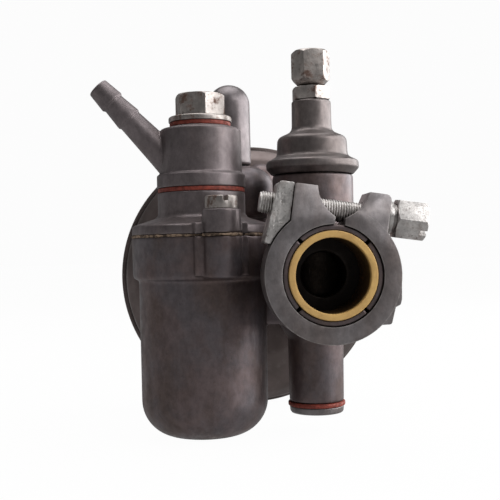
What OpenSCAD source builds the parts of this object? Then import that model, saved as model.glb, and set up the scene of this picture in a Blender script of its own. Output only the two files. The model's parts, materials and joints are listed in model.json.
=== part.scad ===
// Side-float slide carburettor with a clamp-on manifold stub, a banjo fuel inlet
// and a drum air filter.
//
// Origin: centre of the manifold mouth. +Y runs along the bore into the
// carburettor, +Z is up, and the float bowl stands on the -X side.

/* [Manifold stub and clamp] */
// Inner diameter of the insulating bush, the size of the manifold pipe
manifold_d = 20; // [19:0.1:20.4]
// Outer diameter of the insulating bush
bush_d = 23.6; // [23:0.1:24]
// Outer diameter of the slotted stub
stub_d = 26.8; // [26:0.1:27]
// Length of the insulating bush
bush_len = 16; // [14:0.5:19]
// Outer diameter of the clamp ring
clamp_d = 36.2; // [35:0.1:37]
// Width of the clamp ring along the bore
clamp_w = 11; // [9:0.5:11.5]
// Turn of the clamp about the bore
clamp_turn = 8; // [0:1:10]
// Gap in the clamp ring between its ears
clamp_gap = 2.8; // [1:0.1:3.4]
// Height of the clamp bolt over the bore axis
clamp_bolt_h = 17.1; // [17:0.1:17.6]

/* [Mixing chamber] */
// Distance from the manifold mouth to the throttle slide
slide_y = 32.5; // [32:0.1:33]
// Diameter of the throttle slide
slide_d = 19; // [18.6:0.1:19.2]
// Diameter of the venturi bore
venturi_d = 12.4; // [11:0.1:13]
// Outer diameter of the mixing chamber
chamber_d = 23.8; // [23.6:0.1:24.4]
// Outer diameter of the jet tube under the mixing chamber
jet_tube_d = 16.2; // [15.6:0.1:16.6]
// Distance from the bore axis down to the end of the jet tube
jet_tube_drop = 37.6; // [37:0.1:38]
// Lift of the throttle slide
slide_lift = 12.4; // [11:0.1:12.6]

/* [Float bowl] */
// Distance of the float bowl from the mixing chamber
float_x = -32.9; // [-33.5:0.1:-32.8]
// Outer diameter of the bowl
bowl_d = 37.2; // [36.6:0.1:37.6]
// Distance from the bore axis down to the bottom of the bowl
bowl_drop = 46.3; // [45:0.1:47]
// Outer diameter of the bowl's flange
flange_d = 41; // [40.6:0.1:41.2]
// Height of the bowl's top face over the bore axis
flange_top = 11.2; // [11:0.1:11.6]
// Rise of the float and its needle
float_rise = 3.4; // [2:0.1:3.6]

/* [Fuel inlet] */
// Outer diameter of the banjo
banjo_d = 24; // [23.4:0.1:24.2]
// Hex size of the banjo bolt
banjo_hex = 13; // [12:1:14]
// Rise angle of the hose nozzle
nozzle_angle = 46.5; // [42:0.5:50]
// Length of the hose nozzle outside the banjo
nozzle_len = 25.5; // [24:0.5:27]

/* [Cap and cable adjuster] */
// Outer diameter of the cap's rim
cap_rim_d = 27.4; // [26.8:0.1:27.6]
// Hex size of the adjuster, its locknut and the clamp bolt
small_hex = 10; // [9:1:10]

/* [Choke] */
// Diameter of the choke knob
knob_d = 13.8; // [12.6:0.1:14]
// Lift of the choke knob
choke_lift = 8; // [6:0.5:9]

/* [Air filter] */
// Outer diameter of the filter drum
drum_d = 86.4; // [85:0.2:88]
// Depth of the filter drum
drum_depth = 20; // [18:1:24]
// Distance from the manifold mouth to the drum's front wall
drum_y = 70.8; // [70.8:0.1:71.5]

/* [Hidden] */
$fn = 72;

// Colours
cast_grey = [0.42, 0.41, 0.42];
dark_cast = [0.33, 0.32, 0.33];
bright_steel = [0.72, 0.71, 0.7];
spring_steel = [0.5, 0.5, 0.52];
brass = [0.78, 0.62, 0.28];
fibre_red = [0.62, 0.16, 0.1];
nylon = [0.86, 0.7, 0.36];
paper = [0.5, 0.42, 0.32];
rubber_black = [0.05, 0.05, 0.05];
mesh_grey = [0.55, 0.55, 0.5];

// Clearances
running = 0.05;
face_gap = 0.05;

// Manifold stub and clamp
stub_mouth = 0.5;
stub_len = 15;
barrel_r = 14.6;
slot_w = 0.8;
slot_len = 13;
clamp_hole_r = 3.2;
clamp_bolt_r = 2.95;
clamp_top = 22.8;
ear_in = 7;
ear_out = 12.8;
head_len = 8.4;
head_neck = 2.3;
collar_t = 1.4;
clamp_nut_t = 5.2;
bolt_tip = 3.3;
tail_low = 6.1;

// Mixing chamber
slide_r = slide_d / 2;
slide_floor = -6.4;
slide_top = 19;
slide_wall = 2.2;
chamber_top = 31;
thread_r = 11;
chamber_base = -13;
tube_neck = -19;
cavity_r = 5.5;
cavity_top = -26;
annulus_r = 3.7;
duct_z = -11.5;
duct_wall = 5;
horn_r = 11.4;
horn_end = 70;
horn_mouth_r = 9.4;
horn_flange_r = 17;
horn_flange_t = 4;
horn_bolt_r = 13.4;

// Throttle needle and jets
needle_r = 1.25;
clip_z = 2.4;
needle_top = 8;
needle_tip = -24;
jet_r = 2.6;
jet_bore_r = 1.35;
jet_top = -6.8;
jet_low = -31;
main_jet_low = -36;
plug_r = 8;
plug_h = 2.1;
washer_t = 1.2;
plug_top = -33.6;

// Float bowl
bowl_r = bowl_d / 2;
bowl_wall = 2.4;
bowl_in_r = bowl_r - bowl_wall;
bowl_corner = 10.5;
flange_r = flange_d / 2;
flange_low = -0.9;
boss_r = 5.3;
boss_out = 20.5;
boss_web = 7.6;
boss_angle = -77;
gasket_t = 0.5;
cover_z = flange_top + gasket_t;
cover_rim = 2.8;
tower_r = 12.75;
tower_low = 16.6;
tower_top = 24.1;
cover_boss_top = 18.4;
screw_head_r = 4.5;
screw_head_h = 3.6;
screw_r = 2.45;
float_r = 14;
float_low = -35.6;
float_top = 0;
guide_boss_h = 5;
float_needle_r = 1.3;
float_needle_tip = 10.5;
seat_r = 4.2;
seat_top = 17;

// Fuel inlet
banjo_r = banjo_d / 2;
banjo_z = tower_top + washer_t + face_gap;
banjo_shoulder = 42.6;
banjo_top = 43.2;
banjo_step = 4.3;
banjo_step_r = 12.9;
banjo_cavity_r = 8.6;
banjo_cavity_top = 38;
bolt_flange_r = 9.2;
bolt_flange_t = 1.9;
bolt_head_h = 6.4;
bolt_shank_r = 3.95;
nozzle_base_z = 36.6;

// Cap and adjuster
cap_rim_z = 28.9;
cap_rim_top = 33.4;
dome_r = 10.2;
dome_top = 40.8;
neck_r = 5.8;
neck_top = 50.8;
locknut_h = 3.7;
adjuster_head_h = 10.4;
adjuster_r = 2.95;
cable_bore_r = 1.1;
ferrule_r = 2.6;
ferrule_depth = 6;

// Idle screw
idle_z = 8;
idle_r = 2.2;
idle_boss_end = 14.4;
idle_head_x = 19;
idle_head_t = 2.6;

// Choke
choke_x = -22.6;
choke_y = 60.5;
choke_tower_r = 9;
choke_tower_top = 33.6;
choke_web_x = -18.2;
choke_web_y = 50;
choke_web_r = 9;
choke_web_w = 14;
choke_web_low = 17;
choke_web_top = 33.4;
shoulder_x = -12.4;
shoulder_y = 62.5;
shoulder_r = 6.5;
shoulder_top = 35.3;
choke_low = 2;
choke_bore_r = 4.6;
choke_stem_r = 2.2;
plunger_h = 9;
knob_z = 34.5;
knob_h = 26.1;

// Air filter
drum_x = -14.4;
drum_z = -1.5;
drum_r = drum_d / 2;
drum_wall = 1.8;
drum_back = drum_y + drum_depth;
dish_depth = 5.4;
cover_t = 1.6;
stud_r = 2.4;

// ---- helpers ----

function unit(v) = v / norm(v);

// Points of an arc that rounds corner b of a, b, c with radius r
function corner(a, b, c, r) = r <= 0 ? [b] :
    let (
        n = r > 6 ? 12 : 6,
        u = unit(a - b),
        v = unit(c - b),
        half = acos(max(-1, min(1, u * v))) / 2,
        m = b + unit(u + v) * r / sin(half),
        s = b + u * r / tan(half) - m,
        e = b + v * r / tan(half) - m,
        a0 = atan2(s[1], s[0]),
        turn = ((atan2(e[1], e[0]) - a0 + 540) % 360) - 180
    )
    [for (i = [0:n]) m + r * [cos(a0 + turn * i / n), sin(a0 + turn * i / n)]];

// Outline from points [x, y, corner radius]
function rounded(p) = [
    for (i = [0:len(p) - 1])
        let (
            a = p[(i + len(p) - 1) % len(p)],
            b = p[i],
            c = p[(i + 1) % len(p)]
        )
        each corner([a[0], a[1]], [b[0], b[1]], [c[0], c[1]], b[2])
];

module lathe(p) rotate_extrude() polygon(rounded(p));

module along_y() rotate([-90, 0, 0]) children();

module along_x() rotate([0, 90, 0]) children();

module at_slide() translate([0, slide_y, 0]) children();

module at_float() translate([float_x, slide_y, 0]) children();

module at_choke() translate([choke_x, choke_y, 0]) children();

module at_drum() translate([drum_x, 0, drum_z]) children();

// Clamp frame: turned about the bore
module at_clamp() rotate([0, clamp_turn, 0]) children();

// The cover's two screw places
module at_bosses()
    for (a = [boss_angle, boss_angle + 180])
        at_float() rotate(a) translate([boss_out, 0, 0]) children();

// Hexagonal prism with turned ends: af is across flats, and the chamfers are [radial, along Z]
module hex_prism(af, h, low = [0, 0], top = [0, 0]) {
    corner_r = af / sqrt(3);
    over = corner_r + 0.01;
    intersection() {
        cylinder(r = corner_r, h = h, $fn = 6);
        lathe([
            [0, 0, 0], [corner_r - low[0], 0, 0], [over, low[1], 0],
            [over, h - top[1], top[1]], [corner_r - top[0], h, 0], [0, h, 0]
        ]);
    }
}

// Round wire wound from z0 to z1
module coil(r, wire, z0, z1, turns) {
    sides = 8;
    steps = 20;
    rings = turns * steps;
    ring = [for (k = [0:sides - 1]) wire * [cos(k * 360 / sides), sin(k * 360 / sides)]];
    low = z0 + wire;
    rise = z1 - z0 - 2 * wire;
    points = [
        for (i = [0:rings], q = ring)
            let (a = 360 * i / steps)
            [(r + q[0]) * cos(a), (r + q[0]) * sin(a), low + rise * i / rings + q[1]]
    ];
    skin = [
        for (i = [0:rings - 1], k = [0:sides - 1])
            let (n = (k + 1) % sides)
            [i * sides + k, i * sides + n, (i + 1) * sides + n, (i + 1) * sides + k]
    ];
    first = [for (k = [sides - 1:-1:0]) k];
    last = [for (k = [0:sides - 1]) rings * sides + k];
    polyhedron(points, concat([first], skin, [last]), convexity = 10);
}

// ---- casting ----

module bowl_shape()
    at_float() union() {
        lathe([
            [0, -bowl_drop, 0], [bowl_r - 0.3, -bowl_drop, bowl_corner],
            [bowl_r, flange_low + 1, 0], [bowl_r, flange_low + 3, 0], [0, flange_low + 3, 0]
        ]);
        lathe([
            [0, flange_low, 0], [flange_r - 0.3, flange_low, 1.2],
            [flange_r, flange_top, 0], [0, flange_top, 0]
        ]);
    }

module boss_shape(z0, z1)
    at_bosses() lathe([[0, z0, 0], [boss_r, z0, 0.6], [boss_r, z1, 0], [0, z1, 0]]);

module boss_webs(z0, z1)
    for (a = [boss_angle, boss_angle + 180])
        at_float() rotate(a) translate([bowl_in_r + 0.4, -boss_web, z0])
            cube([boss_out - bowl_in_r, 2 * boss_web, z1 - z0]);

module chamber_shape()
    at_slide() lathe([
        [0, -jet_tube_drop, 0], [jet_tube_d / 2 - 0.1, -jet_tube_drop, 0.3],
        [jet_tube_d / 2 + 0.1, tube_neck, 2], [chamber_d / 2, chamber_base, 2],
        [chamber_d / 2, cap_rim_z - 0.3, 0], [thread_r, cap_rim_z - 0.3, 0],
        [thread_r, chamber_top, 0.4], [0, chamber_top, 0]
    ]);

module barrel_shape() {
    along_y() lathe([
        [0, stub_mouth, 0], [stub_d / 2, stub_mouth, 0.4], [stub_d / 2, stub_len - 2, 0],
        [barrel_r, stub_len - 1, 0.8], [barrel_r, slide_y, 0], [0, slide_y, 0]
    ]);
    along_y() lathe([
        [0, slide_y, 0], [horn_r, slide_y, 0], [horn_r, horn_end - horn_flange_t - 4, 3],
        [horn_flange_r, horn_end - horn_flange_t, 1], [horn_flange_r, horn_end, 0.3],
        [0, horn_end, 0]
    ]);
}

module choke_tower_shape() {
    at_choke() lathe([
        [0, -11, 0], [choke_tower_r - 3, -11, 2.4], [choke_tower_r, -6, 3],
        [choke_tower_r, choke_tower_top, 4], [0, choke_tower_top, 0]
    ]);
    // Rounded shoulders between the tower and the mixing chamber
    translate([choke_web_x, choke_web_y, 0]) lathe([
        [0, choke_web_low, 0], [choke_web_r, choke_web_low, 2],
        [choke_web_r, choke_web_top, 8.4], [0, choke_web_top, 0]
    ]);
    web = [choke_web_x - choke_x, choke_web_y - choke_y];
    at_choke() rotate(atan2(web[1], web[0])) translate([0, -choke_web_w / 2, choke_web_low + 1.5])
        cube([norm(web), choke_web_w, choke_web_top - choke_web_low - 5.5]);
    translate([shoulder_x, shoulder_y, 0]) lathe([
        [0, 0.6, 0], [shoulder_r, 0.6, 2], [shoulder_r, shoulder_top, 6.2], [0, shoulder_top, 0]
    ]);
    translate([choke_x, choke_y - 5.5, -9]) cube([18, 9, 16]);
}

module idle_boss()
    translate([0, slide_y, idle_z]) along_x()
        cylinder(r1 = 6, r2 = 4.4, h = idle_boss_end);

module body_bores() {
    // Manifold side: bush seat, then venturi
    along_y() translate([0, 0, -1]) cylinder(r = bush_d / 2 + 0.02, h = bush_len + 1);
    along_y() lathe([
        [0, 5, 0], [venturi_d / 2, 5, 0], [venturi_d / 2, 43, 4], [horn_mouth_r - 1, horn_end - 8, 6],
        [horn_mouth_r + 1.2, horn_end + 1, 0], [0, horn_end + 1, 0]
    ]);
    // Four clamping slots
    for (a = [45:90:315])
        rotate([0, a + 2, 0]) translate([9, -1, -slot_w / 2]) cube([9, slot_len + 1, slot_w]);
    // Throttle slide
    at_slide() translate([0, 0, slide_floor]) cylinder(r = slide_r + running, h = 50);
    // Jet tube
    at_slide() translate([0, 0, -60]) cylinder(r = cavity_r, h = 60 + cavity_top);
    at_slide() translate([0, 0, -40]) cylinder(r = annulus_r, h = 31);
    at_slide() translate([0, 0, -40]) cylinder(r = jet_r + 0.01, h = 50);
    // Fuel duct from the bowl to the jet tube
    translate([float_x, slide_y, duct_z]) along_x() cylinder(r = 1.5, h = -float_x);
    // Bowl
    at_float() difference() {
        lathe([
            [0, -bowl_drop + 2.6, 0], [bowl_in_r - 0.2, -bowl_drop + 2.6, 8.5],
            [bowl_in_r, 0, 0], [bowl_in_r, flange_top + 1, 0], [0, flange_top + 1, 0]
        ]);
        translate([0, 0, -bowl_drop]) cylinder(r = 3, h = 2.6 + guide_boss_h);
    }
    at_float() translate([0, 0, -bowl_drop + 2]) cylinder(r = float_needle_r + 0.1, h = 20);
    // Cover screw threads
    at_bosses() translate([0, 0, 1]) cylinder(r = screw_r, h = 20);
    // Idle screw thread
    translate([0, slide_y, idle_z]) along_x() cylinder(r = idle_r + running, h = 30);
    // Slide guide pin
    translate([0, slide_y, 12]) rotate([0, 90, 135]) cylinder(r = 1, h = 20);
    // Choke plunger
    at_choke() translate([0, 0, choke_low]) cylinder(r = choke_bore_r, h = 60);
    at_choke() translate([0, 0, choke_low + 3]) along_x() cylinder(r = 1.2, h = 21);
    // Screws of the filter housing
    for (a = [90:120:330])
        rotate([0, a, 0]) translate([horn_bolt_r, horn_end - 6, 0]) along_y()
            cylinder(r = 1.7, h = 12);
}

module body()
    color(cast_grey) difference() {
        union() {
            chamber_shape();
            barrel_shape();
            bowl_shape();
            boss_webs(flange_low + 1.2, flange_top);
            boss_shape(flange_low + 0.6, flange_top);
            translate([float_x + bowl_in_r + 1, slide_y - duct_wall, duct_z - 3])
                cube([-float_x - bowl_in_r, 2 * duct_wall, flange_top - duct_z + 1]);
            choke_tower_shape();
            idle_boss();
        }
        body_bores();
    }

module insulating_bush()
    color(nylon) along_y() difference() {
        lathe([
            [0, 0, 0], [bush_d / 2, 0, 0.3], [bush_d / 2, bush_len - 0.1, 0.3],
            [0, bush_len - 0.1, 0]
        ]);
        translate([0, 0, -1]) cylinder(r = manifold_d / 2, h = bush_len + 2);
    }

// ---- clamp ----

// Side-on shapes of the clamp are drawn in X and Z and run along the bore
module clamp_extrude(y0, y1)
    rotate([90, 0, 0]) translate([0, 0, -y1]) linear_extrude(y1 - y0) children();

module clamp_ears() {
    r = clamp_d / 2;
    for (side = [-1, 1])
        polygon(rounded([
            [side, 0, 0], [side * (r - 0.6), 0, 0], [side * ear_out, 10, 0],
            [side * ear_out, clamp_top, side > 0 ? 1.6 : 0.6], [side * (ear_in - 0.6), clamp_top, 0],
            [side * 3, 14, 0], [side, 13, 0]
        ]));
}

module clamp_ring()
    color(cast_grey) at_clamp() difference() {
        union() {
            along_y() cylinder(r = clamp_d / 2, h = clamp_w);
            clamp_extrude(0.05, clamp_w - 0.05) clamp_ears();
            // Stepped stop lug of the casting
            clamp_extrude(0.3, clamp_w - 0.3) polygon(rounded([
                [12, 3, 0], [clamp_d / 2 - 0.1, 1.6, 0], [clamp_d / 2 + 0.6, -3.9, 1],
                [clamp_d / 2 + 0.4, -5.4, 0.6], [clamp_d / 2 - 0.8, -6.2, 0.3],
                [clamp_d / 2 - 1.3, -10.8, 0.8], [clamp_d / 2 - 4.2, -11.3, 0.6], [10, -9, 0]
            ]));
        }
        along_y() translate([0, 0, -1]) cylinder(r = stub_d / 2 + 0.03, h = clamp_w + 2);
        translate([-clamp_gap / 2, -1, 0]) cube([clamp_gap, clamp_w + 2, 40]);
        // Open space between the ears
        clamp_extrude(-1, clamp_w + 1) polygon([
            [-1.3, 15.2], [-3.6, 16.8], [-5.2, 18.5], [-6.3, 20.4], [-ear_in, clamp_top], [-ear_in, 24],
            [ear_in, 24], [ear_in, clamp_top], [6.3, 20.4], [5.2, 18.5], [3.6, 16.8], [1.3, 15.2]
        ]);
        translate([-30, clamp_w / 2, clamp_bolt_h]) along_x() cylinder(r = clamp_hole_r, h = 60);
    }

module at_clamp_bolt()
    at_clamp() translate([0, clamp_w / 2, clamp_bolt_h]) along_x() children();

// Forged nut with a tail that hugs the ring and keeps it from turning
module clamp_nut()
    color(bright_steel) at_clamp() difference() {
        clamp_extrude(0.9, clamp_w - 0.9) polygon(rounded([
            [-ear_out - 0.1, clamp_bolt_h - 5, 0], [-ear_out - 0.1, clamp_bolt_h + 5.9, 0.4],
            [-ear_out - clamp_nut_t + 0.7, clamp_bolt_h + 5.9, 1.6],
            [-ear_out - clamp_nut_t - 0.2, clamp_bolt_h - 3, 3], [-19.1, tail_low + 0.3, 0.5],
            [-16.9, tail_low, 0]
        ]));
        along_y() translate([0, 0, -1]) cylinder(r = clamp_d / 2 + 0.15, h = clamp_w + 2);
        translate([-40, clamp_w / 2, clamp_bolt_h]) along_x()
            cylinder(r = clamp_bolt_r + running, h = 40);
    }

module clamp_bolt() {
    head_z = ear_out + 0.1;
    shank = 2 * ear_out + clamp_nut_t + bolt_tip;
    color(bright_steel) at_clamp_bolt() difference() {
        union() {
            translate([0, 0, head_z]) cylinder(r = 4.4, h = collar_t);
            translate([0, 0, head_z + 1]) cylinder(r = 3.7, h = head_neck);
            translate([0, 0, head_z + head_neck]) rotate(33)
                hex_prism(small_hex, head_len, [0.8, 0.5], [0.9, 0.7]);
            translate([0, 0, head_z - shank]) lathe([
                [0, 0, 0], [clamp_bolt_r, 0, 0.9], [clamp_bolt_r, shank + 0.2, 0], [0, shank + 0.2, 0]
            ]);
        }
        // Screwdriver slot across the head
        translate([0, 0, head_z + head_neck + head_len - 2]) rotate(-51)
            translate([-10, -0.7, 0]) cube([20, 1.4, 5]);
    }
}

// ---- cap, adjuster, slide ----

module mixing_chamber_cap()
    color(dark_cast) at_slide() difference() {
        lathe([
            [0, cap_rim_z, 0], [cap_rim_d / 2 - 1.7, cap_rim_z, 0.6],
            [cap_rim_d / 2, cap_rim_z + 1.9, 0.8], [cap_rim_d / 2 - 0.1, cap_rim_top - 0.6, 1],
            [dome_r + 0.3, cap_rim_top + 0.9, 1.6], [dome_r, dome_top - 1, 1.9],
            [neck_r + 0.1, dome_top + 0.9, 2.2], [neck_r, neck_top - 0.4, 0.3],
            [neck_r - 0.5, neck_top, 0], [0, neck_top, 0]
        ]);
        translate([0, 0, cap_rim_z - 1])
            cylinder(r = thread_r + 0.02, h = chamber_top - cap_rim_z + 1.2);
        lathe([
            [0, cap_rim_z, 0], [slide_r + 0.3, cap_rim_z, 0], [slide_r + 0.3, cap_rim_z + 3.2, 0],
            [slide_r - 1, cap_rim_z + 4.2, 0], [slide_r - 1.2, dome_top - 3.4, 1],
            [5.2, dome_top - 2.4, 0], [0, dome_top - 2.4, 0]
        ]);
        translate([0, 0, 30]) cylinder(r = adjuster_r + running, h = 40);
    }

adjuster_z = neck_top + locknut_h + 0.6;

module cable_adjuster()
    color(bright_steel) at_slide() difference() {
        union() {
            translate([0, 0, adjuster_z]) rotate(1.3)
                hex_prism(small_hex, adjuster_head_h, [2.05, 2.2], [1, 0.9]);
            translate([0, 0, neck_top - 8])
                cylinder(r = adjuster_r, h = adjuster_z - neck_top + 8.5);
        }
        cylinder(r = cable_bore_r, h = 100);
        translate([0, 0, adjuster_z + adjuster_head_h - ferrule_depth])
            cylinder(r = ferrule_r, h = 20);
    }

module adjuster_locknut()
    color(bright_steel) at_slide() translate([0, 0, neck_top + 0.2]) difference() {
        rotate(-26) hex_prism(small_hex, locknut_h, [0.3, 0.2], [0.6, 0.4]);
        translate([0, 0, -1]) cylinder(r = adjuster_r + running, h = 10);
    }

module throttle_slide()
    color(bright_steel) at_slide() difference() {
        lathe([
            [0, slide_floor + 0.1, 0], [slide_r, slide_floor + 0.1, 0.3],
            [slide_r, slide_top, 0.3], [0, slide_top, 0]
        ]);
        translate([0, 0, 1.2]) cylinder(r = slide_r - slide_wall, h = 40);
        translate([0, 0, -10]) cylinder(r = needle_r + 0.05, h = 20);
        // Cable hole
        translate([4.2, 0, -10]) cylinder(r = 1.6, h = 20);
        // Cutaway on the intake side
        translate([-15, 0.5, slide_floor]) rotate([16, 0, 0]) translate([0, 0, -8]) cube([30, 20, 8]);
        // Groove of the idle screw and groove of the guide pin
        translate([slide_r - 1.6, -2.5, slide_floor - 1]) cube([5, 5, idle_z - slide_floor + 3.6]);
        rotate(135) translate([slide_r - 1, -1.1, slide_floor - 1]) cube([3, 2.2, 40]);
    }

module spring_seat()
    color(spring_steel) at_slide() translate([0, 0, clip_z + 0.7]) difference() {
        cylinder(r = slide_r - slide_wall - 0.1, h = 0.8);
        translate([0, 0, -1]) cylinder(r = 1.6, h = 3);
        translate([4.2, 0, -1]) cylinder(r = 1.5, h = 3);
    }

module throttle_spring()
    color(spring_steel) at_slide()
        coil(5.4, 0.5, clip_z + 1.55, dome_top - 2.45, 11);

module jet_needle()
    color(bright_steel) at_slide() lathe([
        [0, needle_tip, 0], [0.5, needle_tip + 0.2, 0], [needle_r, -8, 0],
        [needle_r, clip_z, 0], [0.85, clip_z, 0], [0.85, clip_z + 0.6, 0],
        [needle_r, clip_z + 0.6, 0], [needle_r, needle_top, 0.3], [0, needle_top, 0]
    ]);

module needle_clip()
    color(brass) at_slide() translate([0, 0, clip_z + 0.02]) linear_extrude(0.56)
        difference() {
            circle(r = 3);
            circle(r = 0.87);
            translate([0, -0.6]) square([4, 1.2]);
        }

module slide_guide_pin()
    color(brass) translate([0, slide_y, 12]) rotate([0, 90, 135])
        translate([0, 0, slide_r - 0.8]) cylinder(r = 0.99, h = 3.4);

module idle_screw()
    color(brass) translate([0, slide_y, idle_z]) along_x() difference() {
        lathe([
            [0, slide_r - 1.5, 0], [0.8, slide_r - 1.5, 0], [idle_r, slide_r + 1, 0],
            [idle_r, idle_head_x, 0], [4.2, idle_head_x, 0.3],
            [4.2, idle_head_x + idle_head_t, 0.5], [0, idle_head_x + idle_head_t, 0]
        ]);
        translate([-10, -0.6, idle_head_x + idle_head_t - 1.2]) cube([20, 1.2, 5]);
    }

module idle_screw_spring()
    color(spring_steel) translate([0, slide_y, idle_z]) along_x()
        coil(3.2, 0.4, idle_boss_end + 0.05, idle_head_x - 0.05, 5);

// ---- jets ----

module needle_jet()
    color(brass) at_slide() difference() {
        lathe([
            [0, jet_low, 0], [4.2, jet_low, 0.3], [4.2, jet_low + 4, 0.3], [jet_r, jet_low + 4, 0],
            [jet_r, jet_top, 0], [0, jet_top, 0]
        ]);
        translate([0, 0, -50]) cylinder(r = jet_bore_r, h = 60);
        translate([-10, 0, -21]) along_x() cylinder(r = 0.5, h = 20);
    }

module main_jet()
    color(brass) at_slide() difference() {
        union() {
            translate([0, 0, main_jet_low])
                hex_prism(6, jet_low - main_jet_low - 0.02, [0.3, 0.3]);
            translate([0, 0, jet_low - 0.5]) cylinder(r = jet_bore_r - 0.02, h = 3);
        }
        translate([0, 0, -50]) cylinder(r = 0.5, h = 60);
    }

module bottom_plug()
    color(cast_grey) at_slide() difference() {
        union() {
            lathe([
                [0, -jet_tube_drop - washer_t - plug_h, 0],
                [plug_r - 0.2, -jet_tube_drop - washer_t - plug_h, 0.6],
                [plug_r, -jet_tube_drop - washer_t, 0.2], [0, -jet_tube_drop - washer_t, 0]
            ]);
            translate([0, 0, -jet_tube_drop - washer_t - 0.1])
                cylinder(r = cavity_r - 0.02, h = plug_top + jet_tube_drop + washer_t + 0.1);
        }
        translate([0, 0, main_jet_low - 1.2]) cylinder(r = 3.9, h = 20);
        translate([-10, -0.8, -jet_tube_drop - washer_t - plug_h - 5]) cube([20, 1.6, 6.2]);
    }

module bottom_plug_washer()
    color(fibre_red) at_slide() translate([0, 0, -jet_tube_drop - washer_t]) difference() {
        cylinder(r = plug_r + 0.4, h = washer_t);
        translate([0, 0, -1]) cylinder(r = cavity_r, h = 4);
    }

// ---- float ----

module float()
    color(brass) at_float() difference() {
        lathe([
            [0, float_low, 0], [float_r, float_low, 3], [float_r, float_top, 3], [0, float_top, 0]
        ]);
        translate([0, 0, float_low - 1]) cylinder(r = float_needle_r + 0.02, h = 60);
    }

module float_needle()
    color(brass) at_float() lathe([
        [0, -bowl_drop + 2.3, 0], [float_needle_r, -bowl_drop + 2.3, 0.3],
        [float_needle_r, float_needle_tip - 1.6, 0], [0.4, float_needle_tip, 0],
        [0, float_needle_tip, 0]
    ]);

module needle_seat()
    color(brass) at_float() difference() {
        translate([0, 0, flange_top - 0.4]) cylinder(r = seat_r, h = seat_top - flange_top + 0.35);
        cylinder(r = 1.7, h = float_needle_tip + float_rise + 0.2);
        cylinder(r = 0.9, h = 40);
    }

module float_cover()
    color(dark_cast) difference() {
        union() {
            at_float() lathe([
                [0, cover_z, 0], [flange_r - 0.1, cover_z, 0.2],
                [flange_r - 0.2, cover_z + cover_rim, 0.9], [tower_r + 0.8, tower_low, 1.2],
                [tower_r, tower_low + 1, 1], [tower_r, tower_top, 0.3], [0, tower_top, 0]
            ]);
            boss_shape(cover_z, cover_boss_top);
            boss_webs(cover_z, cover_z + cover_rim + 0.4);
        }
        at_float() translate([0, 0, cover_z - 1]) cylinder(r = seat_r + 0.01, h = seat_top - cover_z + 1);
        at_float() cylinder(r = bolt_shank_r + running, h = 60);
        // Hollow underside
        at_float() translate([0, 0, cover_z - 1]) difference() {
            cylinder(r = bowl_in_r - 1, h = 3.4);
            cylinder(r = 7, h = 5);
        }
        at_bosses() cylinder(r = screw_r + 0.2, h = 60);
        // Vent
        at_float() translate([-11.4, 8, 0]) cylinder(r = 0.8, h = 60);
    }

module float_cover_gasket()
    color(paper) difference() {
        union() {
            at_float() translate([0, 0, flange_top]) cylinder(r = flange_r - 0.05, h = gasket_t);
            at_bosses() translate([0, 0, flange_top]) cylinder(r = boss_r + 0.2, h = gasket_t);
        }
        at_float() cylinder(r = bowl_in_r - 1.4, h = 40);
        at_bosses() cylinder(r = screw_r + 0.1, h = 40);
    }

module cover_screws()
    color(bright_steel) at_bosses() translate([0, 0, cover_boss_top]) difference() {
        union() {
            lathe([[0, 0, 0], [screw_head_r, 0, 0.2], [screw_head_r, screw_head_h, 0.5],
                [0, screw_head_h, 0]]);
            translate([0, 0, -14]) cylinder(r = screw_r - 0.03, h = 14.5);
        }
        translate([-10, -0.65, screw_head_h - 1.5]) cube([20, 1.3, 5]);
    }

// ---- fuel inlet ----

module nozzle_frame()
    at_float() translate([-banjo_r, 0, nozzle_base_z]) rotate([0, nozzle_angle - 90, 0]) children();

module fuel_banjo()
    color(cast_grey) difference() {
        union() {
            at_float() lathe([
                [0, banjo_z, 0], [banjo_step_r, banjo_z, 0.2],
                [banjo_step_r, banjo_z + banjo_step - 0.6, 0.4],
                [banjo_r, banjo_z + banjo_step, 0.3], [banjo_r - 0.2, banjo_shoulder, 1],
                [bolt_flange_r + 0.3, banjo_shoulder + 0.1, 0],
                [bolt_flange_r, banjo_top, 0], [0, banjo_top, 0]
            ]);
            nozzle_frame() lathe([
                [0, -8, 0], [4.9, -8, 0], [4.3, 0, 0], [3.55, nozzle_len - 13.4, 0.2],
                [3.95, nozzle_len - 12.9, 0.2], [3.25, nozzle_len - 6.6, 0.2],
                [3.75, nozzle_len - 6.1, 0.2], [3.1, nozzle_len, 0.5], [0, nozzle_len, 0]
            ]);
        }
        at_float() translate([0, 0, banjo_z - 1])
            cylinder(r = banjo_cavity_r, h = banjo_cavity_top - banjo_z + 1);
        at_float() cylinder(r = bolt_shank_r + 0.08, h = 60);
        nozzle_frame() translate([0, 0, -5]) cylinder(r = 1.7, h = 60);
    }

module fuel_strainer()
    color(brass) at_float() difference() {
        union() {
            translate([0, 0, banjo_z + 0.1]) cylinder(r = 6.6, h = banjo_cavity_top - banjo_z - 0.2);
            for (z = [banjo_z + 0.1, banjo_cavity_top - 1.3])
                translate([0, 0, z]) cylinder(r = banjo_cavity_r - 0.02, h = 1.2);
        }
        translate([0, 0, banjo_z - 1]) cylinder(r = 6.2, h = 30);
    }

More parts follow.
